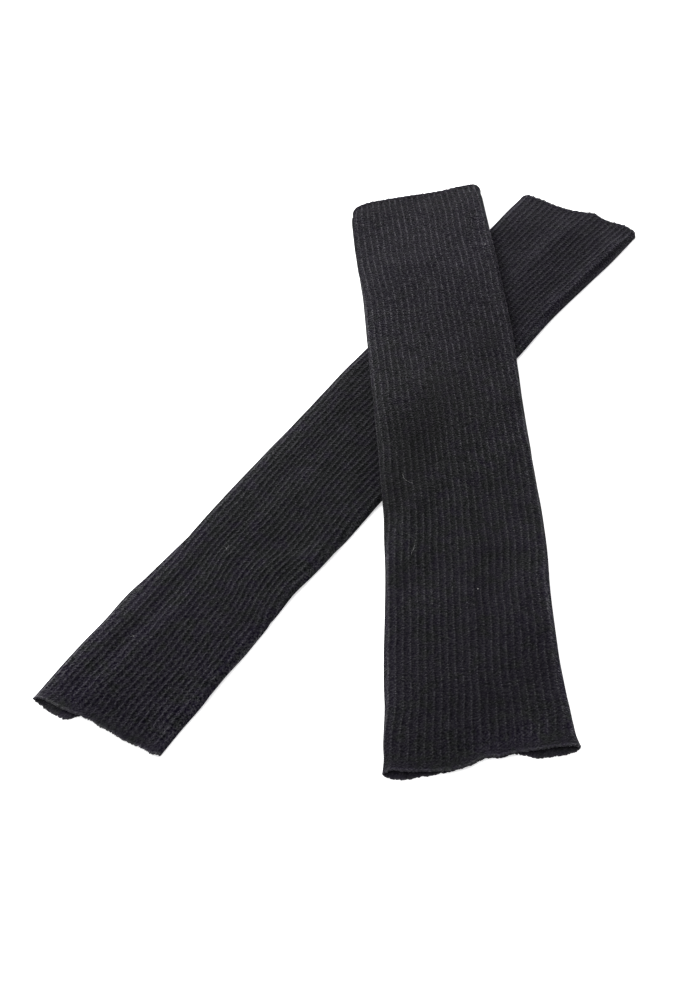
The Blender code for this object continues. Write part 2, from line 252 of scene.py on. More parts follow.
lowerWarmer = dict(
    near=(-0.1588, -0.1699),
    heading=41.7,
    outline=[
        (0.000, 0.0432, 0.0400),
        (0.020, 0.0439, 0.0393),
        (0.040, 0.0446, 0.0390),
        (0.060, 0.0446, 0.0380),
        (0.080, 0.0456, 0.0377),
        (0.100, 0.0447, 0.0364),
        (0.120, 0.0437, 0.0350),
        (0.140, 0.0440, 0.0356),
        (0.160, 0.0448, 0.0366),
        (0.200, 0.0453, 0.0364),
        (0.250, 0.0459, 0.0376),
        (0.305, 0.0464, 0.0387),
        (0.345, 0.0455, 0.0397),
        (0.380, 0.0446, 0.0391),
        (0.420, 0.0432, 0.0417),
        (0.450, 0.0422, 0.0441),
        (0.480, 0.0421, 0.0444),
    ],
    ridges=[
        (0.00, 0.27, -0.26, -0.12, 0.16, 0.0005),
        (0.36, 0.48, 0.05, 0.08, 0.14, 0.0009),
    ],
    nearCorner=0.0,
    farCorner=0.0050,
    nearRim=[
        (-1.00, 0.0014, 0.0014, 0.0040),
        (-0.92, 0.0004, 0.0016, 0.0042),
        (-0.75, 0.0000, 0.0031, 0.0043),
        (-0.55, 0.0000, 0.0036, 0.0039),
        (-0.40, -0.0006, 0.0024, 0.0033),
        (-0.31, -0.0015, -0.0022, 0.0028),
        (-0.15, -0.0022, -0.0045, 0.0027),
        (0.04, -0.0014, -0.0042, 0.0027),
        (0.25, -0.0010, -0.0038, 0.0027),
        (0.46, -0.0002, -0.0032, 0.0027),
        (0.62, -0.0007, -0.0036, 0.0027),
        (0.75, -0.0010, -0.0040, 0.0028),
        (0.88, -0.0003, -0.0028, 0.0030),
        (1.00, -0.0010, -0.0020, 0.0034),
    ],
    farRim=[
        (-1.00, 0.0048, 0.0042, 0.0032),
        (-0.85, 0.0038, 0.0028, 0.0030),
        (-0.65, 0.0032, 0.0020, 0.0030),
        (-0.45, 0.0017, 0.0006, 0.0030),
        (-0.15, 0.0016, 0.0002, 0.0030),
        (0.00, 0.0030, 0.0014, 0.0030),
        (0.20, 0.0049, 0.0031, 0.0032),
        (0.36, 0.0023, 0.0007, 0.0031),
        (0.50, 0.0014, 0.0000, 0.0030),
        (0.72, 0.0018, 0.0004, 0.0030),
        (0.90, -0.0004, -0.0010, 0.0030),
        (1.00, -0.0012, -0.0012, 0.0032),
    ],
    creases=[
        (0.000, -0.030, 0.120, -0.030, 0.001, 0.006, 0.006, 0.0006),
        (0.202, -0.003, 0.160, 0.031, 0.001, 0.007, 0.014, 0.0011),
        (0.126, 0.008, 0.156, 0.035, 0.001, 0.008, 0.010, 0.0011),
        (0.086, 0.010, 0.079, 0.035, 0.000, 0.010, 0.012, 0.0006),
        (0.470, 0.0400, 0.380, 0.0350, 0.000, 0.005, 0.0045, 0.0015),
    ],
    drift=[
        (0.000, 0.50, 0.40, 0.45, 0.80, 0.70),
        (0.025, 0.65, 0.65, 0.75, 0.85, 0.90),
        (0.050, 0.65, 0.85, 0.90, 0.80, 0.40),
        (0.075, 0.60, 0.90, 0.60, 0.50, 0.25),
        (0.095, 0.50, 0.65, 0.25, 0.05, -0.20),
        (0.105, 0.45, 0.50, 0.00, -0.50, -1.00),
        (0.115, 0.40, 0.20, -0.55, -1.20, -1.50),
        (0.125, -0.05, -0.20, -1.00, -1.40, -1.70),
        (0.145, -0.65, -0.55, -1.20, -1.20, -1.40),
        (0.165, -0.70, -0.70, -1.30, -1.40, -1.75),
        (0.190, -0.90, -1.20, -1.70, -2.05, -2.35),
        (0.220, -1.35, -1.50, -2.20, -2.50, -2.70),
        (0.255, -1.70, -1.90, -2.50, -2.80, -2.70),
        (0.290, -2.00, -2.30, -2.40, -2.80, -2.60),
        (0.380, -1.90, -1.75, -1.90, -1.75, -1.95),
        (0.410, -2.05, -1.80, -1.70, -1.45, -1.70),
        (0.440, -2.15, -1.80, -1.65, -1.50, -1.55),
        (0.480, -2.50, -2.10, -1.90, -1.50, -1.45),
    ],
    tone=1.03,
    stripes=(0.30, 0.42),
    fuzz=(1.35, 0.50),
    foldHighlights=(0.65, 0.60),
    # painted shade and light, painted shadows along the upper warmer's edges and painted highlights along
    # the folds, as in the upper warmer's table
    tones=[
        (0.000, -0.0375, 0.120, -0.0365, 0.000, 0.0045, 0.0045, 0.70),
        (0.010, -0.0315, 0.090, -0.0305, 0.000, 0.0035, 0.0035, -0.18),
        (0.120, -0.0350, 0.265, -0.0385, 0.000, 0.0050, 0.0050, 0.42),
        (0.006, -0.036, 0.012, -0.020, 0.000, 0.007, 0.007, 0.35),
        (0.000, -0.0195, 0.090, -0.0165, 0.000, 0.0070, 0.0070, 0.40),
        (0.090, -0.0150, 0.250, -0.0105, 0.000, 0.0090, 0.0080, 0.20),
        (0.044, -0.026, 0.068, -0.026, 0.000, 0.005, 0.005, -0.16),
        (0.008, -0.024, 0.036, -0.022, 0.000, 0.006, 0.006, 0.22),
        (0.078, -0.021, 0.150, -0.016, 0.000, 0.008, 0.008, 0.13),
        (0.010, 0.026, 0.034, 0.027, 0.000, 0.009, 0.009, 0.14),
        (0.020, 0.002, 0.060, -0.002, 0.000, 0.012, 0.012, -0.07),
        (0.108, 0.018, 0.126, 0.030, 0.000, 0.008, 0.008, 0.13),
        (0.084, -0.012, 0.102, -0.004, 0.000, 0.008, 0.008, 0.14),
        (0.040, 0.024, 0.085, 0.027, 0.000, 0.010, 0.008, 0.12),
        (0.000, 0.036, 0.090, 0.035, 0.000, 0.005, 0.005, 0.24),
        (0.092, 0.010, 0.096, 0.026, 0.000, 0.006, 0.006, -0.20),
        (0.110, -0.004, 0.160, 0.040, -0.003, 0.009, 0.008, 0.24),
        (0.122, 0.029, 0.165, 0.036, 0.000, 0.008, 0.008, 0.30),
        (0.134, 0.011, 0.145, 0.018, 0.000, 0.006, 0.006, -0.16),
        (0.162, 0.022, 0.200, 0.020, 0.000, 0.010, 0.010, 0.14),
        (0.150, 0.004, 0.185, 0.006, 0.000, 0.007, 0.007, -0.12),
        (0.176, -0.022, 0.200, -0.020, 0.000, 0.007, 0.007, 0.14),
        (0.218, -0.019, 0.275, -0.023, 0.000, 0.006, 0.006, -0.16),
        (0.255, -0.008, 0.210, 0.034, 0.000, 0.010, 0.010, -0.18),
        (0.298, 0.022, 0.320, 0.027, 0.000, 0.008, 0.008, -0.13),
        (0.345, -0.006, 0.382, 0.000, 0.000, 0.008, 0.008, -0.12),
        (0.348, 0.020, 0.392, 0.018, 0.000, 0.007, 0.007, -0.15),
        (0.425, -0.022, 0.445, -0.024, 0.000, 0.006, 0.006, -0.16),
        (0.415, -0.014, 0.472, -0.017, 0.000, 0.006, 0.006, -0.10),
        (0.410, -0.001, 0.475, -0.003, 0.000, 0.0045, 0.0045, 0.14),
        (0.392, 0.018, 0.475, 0.016, 0.000, 0.007, 0.007, -0.17),
        (0.385, 0.0356, 0.470, 0.0404, 0.000, 0.0040, 0.0022, 0.34),
        (0.385, 0.0384, 0.476, 0.0434, 0.000, 0.0015, 0.0015, -0.50),
        (0.005, -0.0408, 0.110, -0.0417, 0.000, 0.0014, 0.0014, 1.10),
        (0.120, -0.0400, 0.300, -0.0428, 0.000, 0.0018, 0.0018, 0.45),
        (0.400, -0.0396, 0.480, -0.0384, 0.000, 0.0015, 0.0015, 0.45),
    ],
    fibres=[
        (0.1324, -0.0161, 0.0055, 169.0, 30.0, 0.00005),
        (0.1318, -0.0163, 0.0022, 120.0, 60.0, 0.00006),
        (0.0560, -0.0210, 0.0035, 48.0, 20.0, 0.00005),
        (0.0562, -0.0208, 0.0016, -40.0, 0.0, 0.00006),
        (0.0600, -0.0119, 0.0012, 50.0, 0.0, 0.00007),
    ],
    seed=23,
)


# Rises from 0 to 1 with level ends: three times the square, less twice the cube
def ease(value):
    value = np.clip(value, 0.0, 1.0)
    return value * value * (3.0 - 2.0 * value)


# Falls from 1 at no distance to nearly 0 at two half widths, as a bell curve does
def bell(distance, halfWidth):
    return np.exp(-((distance / halfWidth) ** 2))


# A smooth curve through a table's rows, each led by its place: a cubic between every two rows, with
# the slopes that the rows beside them give
def curveThrough(table, place):
    rows = np.array(table)
    slopes = np.gradient(rows[:, 1:], rows[:, 0], axis=0)
    low = np.clip(np.searchsorted(rows[:, 0], place, side="right") - 1, 0, len(rows) - 2)
    size = (rows[low + 1, 0] - rows[low, 0])[..., None]
    share = np.clip((place - rows[low, 0])[..., None] / size, 0.0, 1.0)
    rest = 1.0 - share
    start = rows[low, 1:] * (1.0 + 2.0 * share) + slopes[low] * size * share
    end = rows[low + 1, 1:] * (1.0 + 2.0 * rest) - slopes[low + 1] * size * rest
    return start * rest**2 + end * share**2


# The left and right sides' distances from the axis
def sidesAt(outline, along):
    return np.moveaxis(curveThrough(outline, along), -1, 0)


# A place on the table: the near end's middle, moved along and across the warmer's heading
def toFloor(warmer, along, across):
    turn = np.radians(warmer["heading"])
    x = warmer["near"][0] + along * np.sin(turn) + across * np.cos(turn)
    y = warmer["near"][1] + along * np.cos(turn) - across * np.sin(turn)
    return x, y


# How far a place on the table is outside a warmer's two sides
def distanceOutside(warmer, x, y):
    turn = np.radians(warmer["heading"])
    x, y = x - warmer["near"][0], y - warmer["near"][1]
    along = x * np.sin(turn) + y * np.cos(turn)
    across = x * np.cos(turn) - y * np.sin(turn)
    left, right = sidesAt(warmer["outline"], along)
    return np.maximum(np.maximum(-left - across, across - right), 0.0)


# Height of the upper warmer's underside: level over the lower one, eased down to 0 beside it
def riseOverLower(x, y, heightShare):
    away = distanceOutside(lowerWarmer, x, y) - tube["crossingMargin"]
    top = tube["pressedHeight"] + tube["crossingGap"]
    below = 1.0 - ease(away / tube["drapeReach"])
    above = 1.0 - ease(away / tube["topDrapeReach"])
    return top * (below + heightShare * (above - below))


# 0 where the upper warmer presses on the lower one, eased up to 1 beside it
def freeOfUpper(x, y):
    return ease(distanceOutside(upperWarmer, x, y) / tube["pressReach"])


# A rim's own shape: how far it juts out, with its rounded corners, and the height of its top layer,
# which hangs down where it juts out past the bottom one
def rimShape(rim, corner, side, heightShare, fromRim):
    top, bottom, height = np.moveaxis(curveThrough(rim, side), -1, 0)
    turn = np.clip((np.abs(side) - tube["cornerStart"]) / (1.0 - tube["cornerStart"]), 0.0, 1.0)
    out = bottom + (top - bottom) * heightShare
    out = out - corner * (1.0 - np.sqrt(1.0 - tube["cornerTurn"] * turn**2))
    hang = np.clip(top - bottom - tube["rimHang"], 0.0, tube["rimHang"]) * bell(fromRim, tube["hangReach"])
    return out, height - hang


# 1 along a line from share 0 to 1, eased down to 0 round both its ends
def fadeAtEnds(share, steepness):
    return ease(share * steepness + 0.5) * ease((1.0 - share) * steepness + 0.5)


# Soft lengthwise folds: a bell across each one's line, faded at both its ends
def ridgeHeight(ridges, along, side):
    height = np.zeros_like(along)
    for start, end, startSide, endSide, halfWidth, top in ridges:
        share = (along - start) / (end - start)
        middle = startSide + (endSide - startSide) * share
        height = height + top * fadeAtEnds(share, tube["ridgeFade"]) * bell(side - middle, halfWidth)
    return height


# Creases in real sizes: across the line from start to end, bowed by half a sine wave, the height
# falls as a bell curve with its own width on each side, and fades at both ends of the line
def creaseHeight(creases, along, across):
    height = np.zeros_like(along)
    for startAlong, startAcross, endAlong, endAcross, bow, leftWidth, rightWidth, top in creases:
        stepAlong, stepAcross = endAlong - startAlong, endAcross - startAcross
        size = np.hypot(stepAlong, stepAcross)
        fromAlong, fromAcross = along - startAlong, across - startAcross
        share = (fromAlong * stepAlong + fromAcross * stepAcross) / size**2
        aside = (fromAcross * stepAlong - fromAlong * stepAcross) / size
        aside = aside - bow * np.sin(np.pi * np.clip(share, 0.0, 1.0))
        width = np.where(aside < 0.0, leftWidth, rightWidth)
        height = height + top * fadeAtEnds(share, tube["creaseFade"]) * bell(aside, width)
    return height


# How far the ribs stray sideways, in pitches: straight lines between the places of the drift table
# round the tube, with two small sine waves along the warmer that shift from rib to rib
def strayAt(warmer, along, rib):
    drift = curveThrough(warmer["drift"], along)
    outermost = knit["driftReach"]
    place = np.clip((rib + outermost) / knit["driftStep"], 0.0, drift.shape[-1] - 1.001)
    low = np.floor(place).astype(int)[..., None]
    before = np.take_along_axis(drift, low, -1)[..., 0]
    after = np.take_along_axis(drift, low + 1, -1)[..., 0]
    onTop = before + (after - before) * (place - low[..., 0])
    around = ease(((rib - outermost) % knit["ribs"]) / (knit["ribs"] - 2.0 * outermost))
    below = drift[..., -1] + (drift[..., 0] - drift[..., -1]) * around
    stray = np.where(np.abs(rib) > outermost, below, onTop)
    rng = np.random.default_rng(warmer["seed"])
    for length, reach, size in knit["waves"]:
        start, shift = rng.uniform(0.0, 2.0 * np.pi, 2)
        wave = 2.0 * np.pi * along / length + start + 2.0 * np.sin(rib / reach + shift)
        stray = stray + size * np.sin(wave)
    return stray


# A side fold, as a table: the way along it, how far in from the side, and its share of the height.
# A quarter ellipse comes down from the top layer, and a quarter circle goes under
def foldTable():
    turn = np.linspace(0.0, np.pi / 2.0, tube["foldPlaces"])
    low = tube["foldMiddle"] / tube["height"]
    above = tube["shoulder"] * (1.0 - np.sin(turn)), low + (1.0 - low) * np.cos(turn)
    below = tube["foldMiddle"] * (1.0 - np.cos(turn)), low * (1.0 - np.sin(turn))
    inset = np.concatenate([above[0], below[0][1:]])
    share = np.concatenate([above[1], below[1][1:]])
    steps = np.hypot(np.diff(inset), np.diff(share) * tube["height"])
    return np.concatenate([[0.0], np.cumsum(steps)]), inset, share


foldWay, foldInset, foldShare = foldTable()


# The tube's outer face without its ribs. The place on the ring counts from the middle of the top
# layer: level over the top, down the right fold by the table, and back along the bottom. Gives the
# points, how far in from the fold they are, the height between the layers, and the tone, which
# holds painted shade, painted shadows and painted highlights
def layFlat(warmer, along, placeOnRing, rise, freedom):
    left, right = sidesAt(warmer["outline"], along)
    middle, half = (right - left) / 2.0, (left + right) / 2.0
    levelTop, levelBottom = half - tube["shoulder"], half - tube["foldMiddle"]
    place = placeOnRing((levelTop + foldWay[-1] + levelBottom) / 2.0)
    way, size = np.sign(place), np.abs(place)
    onFold = size - levelTop
    reach = np.where(onFold < 0.0, size, half - np.interp(onFold, foldWay, foldInset))
    reach = np.where(onFold > foldWay[-1], levelBottom + foldWay[-1] - onFold, reach)
    heightShare = np.interp(onFold, foldWay, foldShare)
    across, side, fromFold = middle + way * reach, way * reach / half, half - reach

    fromFar = tube["length"] - along
    outNear, nearHeight = rimShape(warmer["nearRim"], warmer["nearCorner"], side, heightShare, along)
    outFar, farHeight = rimShape(warmer["farRim"], warmer["farCorner"], side, heightShare, fromFar)
    near, far = 1.0 - ease(along / tube["mouthReach"]), 1.0 - ease(fromFar / tube["mouthReach"])

    free = freedom(*toFloor(warmer, along, across))
    inside = ease(fromFold / tube["creaseReach"])
    folds = ridgeHeight(warmer["ridges"], along, side) * free
    folds = folds + creaseHeight(warmer["creases"], along, across) * inside * free
    top = tube["pressedHeight"] + (tube["height"] - tube["pressedHeight"]) * free
    top = top + folds
    top = top + (nearHeight - top) * near + (farHeight - top) * far
    arch = tube["archShare"] * np.maximum(folds, 0.0)
    height = heightShare * top + (1.0 - heightShare) * arch

    x, y = toFloor(warmer, along - outNear * near + outFar * far, across)
    # the tone: painted shade, painted shadows and painted highlights from the tones table, and painted
    # highlights on the folds
    shade = warmer["tone"] + creaseHeight(warmer["tones"], along, across)
    foldHighlight = np.where(way < 0.0, *warmer["foldHighlights"])
    shade = shade * (1.0 + foldHighlight * bell(fromFold, tube["foldHighlightReach"]))
    return np.stack([x, y, height + rise(x, y, heightShare)], axis=-1), fromFold, top - arch, shade


# The rows of the mesh: close together at the rims, even between them
def rowPlaces():
    rim = rimRows + knit["bead"]
    start, end = rim[-1], tube["length"] - rim[-1]
    count = int(round((end - start) / knit["rowStep"]))
    body = np.linspace(start, end, count + 1)[1:-1]
    return np.concatenate([rim, body, tube["length"] - rim[::-1]])


# How far a row is from the nearer rim, and its share of a ramp from 0 at the rim up to 1
def fromNearerRim(along):
    fromRim = np.minimum(along, tube["length"] - along) - knit["bead"]
    fadeLength = np.where(along < tube["length"] / 2.0, knit["nearFade"], knit["farFade"])
    return fromRim, ease(fromRim / fadeLength)


# The rib's height over its width: 1 at its middle, falling as a bell into the valleys
def ribShape(rib):
    return bell(rib - np.round(rib), knit["ribWidth"])


# Vectors made one long
def unit(vectors):
    return vectors / np.linalg.norm(vectors, axis=-1, keepdims=True)


# One closed shell: the outer face with its ribs from the near rim to the far one, the far rim's
# bead, the inner face back to the near rim, and the near rim's bead
def knitShell(warmer, rise, freedom):
    ribs = np.arange(knit["ribs"])[:, None] - knit["ribs"] // 2 + ribColumns[None, :]
    ribs = ribs.reshape(-1)
    rows = rowPlaces()
    along, rib = np.meshgrid(rows, ribs, indexing="ij")
    stray = strayAt(warmer, along, rib)
    shape = ribShape(rib)

    # from the ribs' numbers to places on the ring, a quarter of which is given: the ribs are the
    # knit's pitch apart on the top layer, and closer by a sine wave below it
    def placeOnRing(quarter):
        pitch = 4.0 * quarter / knit["ribs"]
        extra = (knit["pitch"] - pitch) * knit["ribs"] / (2.0 * np.pi)
        place = rib * pitch + extra * np.sin(2.0 * np.pi * rib / knit["ribs"]) + stray * knit["pitch"]
        return (place + 2.0 * quarter) % (4.0 * quarter) - 2.0 * quarter

    fromRim, fade = fromNearerRim(along)
    isNear = along < tube["length"] / 2.0
    loops = np.random.default_rng(warmer["seed"] + 1).normal(0.0, knit["fray"], (2, len(ribs)))
    loops = np.where(isNear, loops[0], loops[1])
    scallop = (knit["scallop"] * (shape - 0.5) + loops) * bell(fromRim, knit["frayReach"])
    scallop = np.where(isNear, -scallop, scallop)
    base, fromFold, between, shade = layFlat(warmer, along + scallop, placeOnRing, rise, freedom)
    lengthwise = unit(np.gradient(base, axis=0))
    crosswise = np.roll(base, -1, axis=1) - np.roll(base, 1, axis=1)
    normal = unit(np.cross(crosswise, lengthwise))

    fade = knit["rimRelief"] + (1.0 - knit["rimRelief"]) * fade
    bulge = knit["beadBulge"] * bell(fromRim - knit["bulgePlace"], knit["bulgeReach"])
    outerDepth = knit["relief"] * fade * (1.0 - shape) - bulge
    outer = base - normal * outerDepth[..., None]
    level, tapered = ease(fromFold / tube["shoulder"]), ease(fromRim / knit["rimTaper"])
    wall = tube["foldWall"] + (tube["wall"] - tube["foldWall"]) * level
    wall = np.minimum(wall, knit["rimWall"] + (tube["wall"] - knit["rimWall"]) * tapered)
    most = knit["wallShare"] * (knit["foldWallShare"] + (1.0 - knit["foldWallShare"]) * level)
    wall = np.minimum(wall, most * between)
    insideDepth = wall - knit["insideRelief"] * shape * fade
    inner = base - normal * insideDepth[..., None]

    # a bead: half an ellipse from the outer edge to the inner one, round the middle between them
    def beadRows(row, way):
        middle = (outer[row] + inner[row]) / 2.0
        halfWall = (outer[row] - inner[row]) / 2.0
        turn = beadTurn[:, None, None]
        return middle + halfWall * np.cos(turn) + way * lengthwise[row] * knit["bead"] * np.sin(turn)

    atRim, last = len(rimRows), len(rows)
    sparse = np.arange(atRim + 2, last - atRim - 2, knit["insideStep"])
    insideRows = np.concatenate([np.arange(atRim), sparse, np.arange(last - atRim, last)])
    nearBead = beadRows(0, -1.0)[::-1]
    points = np.concatenate([outer, beadRows(-1, 1.0), inner[insideRows][::-1], nearBead])
    points[..., 2] = np.maximum(points[..., 2], 0.0)
    # the beads carry a painted highlight, and the inner face painted light
    beadHighlightShade = np.full((knit["beadRows"], len(ribs)), 1.0 + knit["beadHighlight"])
    outerShade = shade * (1.0 + knit["beadHighlight"] * bell(fromRim, knit["beadHighlightReach"]))
    insideFillShade = np.full((len(insideRows), len(ribs)), knit["insidePaintedFill"])
    shade = np.concatenate([outerShade, beadHighlightShade, insideFillShade, beadHighlightShade])
    return points, shade, ribs, rows, insideRows


# A smooth mesh of four-sided faces from a grid of points that closes on itself both ways
def meshFromGrid(name, points):
    rows, columns = points.shape[:2]
    index = np.arange(rows * columns).reshape(rows, columns)
    after, above = np.roll(index, -1, axis=1), np.roll(index, -1, axis=0)
    faces = np.stack([index, after, np.roll(above, -1, axis=1), above], axis=-1).reshape(-1, 4)
    mesh = bpy.data.meshes.new(name)
    mesh.vertices.add(rows * columns)
    mesh.vertices.foreach_set("co", points.reshape(-1))
    mesh.loops.add(faces.size)
    mesh.loops.foreach_set("vertex_index", faces.reshape(-1))
    mesh.polygons.add(len(faces))
    mesh.polygons.foreach_set("loop_start", np.arange(0, faces.size, 4))
    mesh.update(calc_edges=True)
    mesh.shade_smooth()
    return mesh


# A map with one place for each corner of the grid's faces; the last column and row close the ring
def mapOnGrid(mesh, name, across, up):
    low, left = np.meshgrid(up[:-1], across[:-1], indexing="ij")
    high, right = np.meshgrid(up[1:], across[1:], indexing="ij")
    corners = np.stack([left, low, right, low, right, high, left, high], axis=-1)
    layer = mesh.uv_layers.new(name=name)
    layer.uv.foreach_set("vector", corners.reshape(-1))


# Links a mesh with its material into the scene as a piece
def addPiece(name, mesh, material):
    mesh.materials.append(material)
    piece = bpy.data.objects.new(name, mesh)
    bpy.context.scene.collection.objects.link(piece)
    return piece


# One warmer: its shell, the values that its material reads at each point, and its two maps. The
# stripes, partly a painted highlight along the ribs, and the grain go evenly from near to far, and fade at
# the rims and on their beads
def addKnit(name, warmer, rise, freedom, material):
    points, shade, ribs, rows, insideRows = knitShell(warmer, rise, freedom)
    mesh = meshFromGrid(name, points)
    fade, onBead = fromNearerRim(rows)[1], np.zeros(knit["beadRows"])
    fade = np.concatenate([fade, onBead, fade[insideRows][::-1], onBead])[:, None]
    stripe = fade * np.interp(points[..., 1], knit["nearToFar"], warmer["stripes"])
    fuzz = knit["rimFuzz"] + (1.0 - knit["rimFuzz"]) * fade**0.5
    fuzz = fuzz * np.interp(points[..., 1], knit["nearToFar"], warmer["fuzz"])
    for label, values in (("shade", shade), ("stripe", stripe), ("fuzz", fuzz)):
        mesh.attributes.new(label, "FLOAT", "POINT").data.foreach_set("value", values.reshape(-1))

    farBead, nearBead = rows[-1] + beadTurn * knit["bead"], rows[0] - beadTurn[::-1] * knit["bead"]
    course = np.concatenate([rows, farBead, rows[insideRows][::-1], nearBead, rows[:1]])
    mapOnGrid(mesh, "knit", np.append(ribs, ribs[0] + knit["ribs"]), course / knit["course"])
    outerEnd, beadEnd, innerEnd = knit["bakeMap"]
    up = np.concatenate([
        np.linspace(0.0, outerEnd, len(rows)),
        np.linspace(outerEnd, beadEnd, knit["beadRows"] + 2)[1:-1],
        np.linspace(beadEnd, innerEnd, len(insideRows)),
        np.linspace(innerEnd, 1.0, knit["beadRows"] + 2)[1:],
    ])
    mapOnGrid(mesh, "OFBake", np.linspace(0.0, 1.0, len(ribs) + 1), up)
    print(name, "rows", len(points), "triangles", 2 * len(mesh.polygons))
    return addPiece(name, mesh, material)


# The stray fibres
fibre = dict(
    steps=14,  # along each one
    sides=6,
    ribReach=0.0026,  # how near the ribs are that one lies on
    clearance=0.0001,
    smoothing=5,  # steps over which its height is evened out
    noiseScale=900.0,
    tones=(0.15, 0.40),
    roughness=0.7,
)


# Stray fibres on the knit: each follows a flat arc, lies on the highest points of the ribs near it,
# and is a thin tube of six sides that narrows to a point at both ends
def addFibres(name, warmer, knitPiece, material):
    ground = np.empty(3 * len(knitPiece.data.vertices))
    knitPiece.data.vertices.foreach_get("co", ground)
    ground = ground.reshape(-1, 3)
    steps, sides, even = fibre["steps"], fibre["sides"], fibre["smoothing"]
    share = (np.arange(steps) + 0.5) / steps
    ring = np.linspace(0.0, 2.0 * np.pi, sides, endpoint=False)[:, None]
    index = np.arange(steps * sides).reshape(steps, sides)
    after = np.roll(index, -1, axis=1)
    quads = np.stack([index[:-1], index[1:], after[1:], after[:-1]], axis=-1).reshape(-1, 4)
    startFan = np.stack([np.full(sides, steps * sides), index[0], after[0]], axis=-1)
    endFan = np.stack([np.full(sides, steps * sides + 1), after[-1], index[-1]], axis=-1)
    points, faces = [], []
    for number, (along, across, length, turn, bend, halfWidth) in enumerate(warmer["fibres"]):
        angle = np.radians(turn + bend * (share - 0.5))
        alongs = np.cumsum(np.cos(angle)) * length / steps
        acrosses = np.cumsum(np.sin(angle)) * length / steps
        x, y = toFloor(warmer, along + alongs - alongs.mean(), across + acrosses - acrosses.mean())
        away = np.hypot(ground[:, 0] - x[:, None], ground[:, 1] - y[:, None])
        z = np.where(away < fibre["ribReach"], ground[:, 2], 0.0).max(axis=1)
        z = np.convolve(np.pad(z, even // 2, mode="edge"), np.full(even, 1.0 / even), mode="valid")
        middle = np.stack([x, y, z + halfWidth + fibre["clearance"]], axis=-1)
        forward = unit(np.gradient(middle, axis=0))
        right = unit(np.cross(forward, (0.0, 0.0, 1.0)))
        width = halfWidth * np.sqrt(np.sin(np.pi * share))[:, None, None]
        over = np.cross(right, forward)
        around = np.cos(ring) * right[:, None] + np.sin(ring) * over[:, None]
        halfStep = 0.5 * length / steps
        tips = middle[[0, -1]] + forward[[0, -1]] * [[-halfStep], [halfStep]]
        for part in (quads, startFan, endFan):
            faces += (part + number * (steps * sides + 2)).tolist()
        points += [(middle[:, None] + width * around).reshape(-1, 3), tips]
    mesh = bpy.data.meshes.new(name)
    mesh.from_pydata(np.concatenate(points).tolist(), [], faces)
    mesh.shade_smooth()
    print(name, "fibres", len(warmer["fibres"]))
    return addPiece(name, mesh, material)


# The fibres' material: pale, and a little paler in places
def fibreMaterial():
    material = bpy.data.materials.new("stray_fibre")
    material.use_nodes = True
    nodes, links = material.node_tree.nodes, material.node_tree.links
    noise, ramp = nodes.new("ShaderNodeTexNoise"), nodes.new("ShaderNodeMapRange")
    place = nodes.new("ShaderNodeTexCoord")
    noise.inputs["Scale"].default_value = fibre["noiseScale"]
    ramp.inputs["To Min"].default_value, ramp.inputs["To Max"].default_value = fibre["tones"]
    links.new(place.outputs["Object"], noise.inputs["Vector"])
    links.new(noise.outputs["Fac"], ramp.inputs["Value"])
    links.new(ramp.outputs["Result"], nodes["Principled BSDF"].inputs["Base Color"])
    nodes["Principled BSDF"].inputs["Roughness"].default_value = fibre["roughness"]
    return material


# The knit's colours and the size of what its material draws
yarn = dict(
    middle=(0.0098, 0.0106, 0.0109),  # near the crossing
    violet=(0.0113, 0.0097, 0.0156),  # away from it
    grey=0.0104,  # as pale as both; the pattern is drawn in it
    hueShare=0.64,  # how pale the hue is drawn, as a share of the place's tone
    palestHue=1.6,  # what is paler than this is grey
    middlePlace=(-0.02, -0.01, 0.0),
    middleReach=(0.05, 0.17),
    hueMix=(0.2, 0.8),  # share of the violet at the middle and away from it
    mottle=(4.5, 2.4),  # how far the two mix in patches, near the camera and at the far end
    mottleSpan=(0.04, 0.14),  # y between which the one turns into the other
    patchScale=130.0,
    ground=0.58,  # how pale the valleys are, and how much paler a rib's middle is, partly as a painted highlight
    ribGain=0.84,
    ribReach=0.175,  # half width of the paler part of a rib, in pitches
    barGain=0.20,  # share of the stitches' slanting legs
    stitchGain=0.16,  # how much one stitch differs from the next
    legSlope=2.3,  # courses that a stitch's legs rise from the rib to the valley, for each pitch
    wobble=0.4,  # how unevenly the rows of stitches lie, in courses
    wobbleScale=420.0,
    grainGain=0.88,  # how much the fuzz differs from place to place
    grainSpan=(0.33, 0.67),
    grainScale=920.0,
    farGrainScale=1950.0,  # the far grain is finer, and has no coarse part
    farGrainGain=1.3,
    farSpan=(-0.20, 0.10),  # y between which the near grain turns into the far one
    cloudTones=(0.94, 1.06),  # how much wide soft clouds differ
    cloudSpan=(0.3, 0.7),
    cloudScale=60.0,
    noiseRoughness=0.6,
    stitchDepth=0.00012,
    fuzzDepth=0.0012,
    roughness=0.85,
    gloss=0.06,
    sheen=0.10,
    sheenRoughness=0.35,
    sheenTint=(0.90, 0.86, 1.0, 1.0),
)


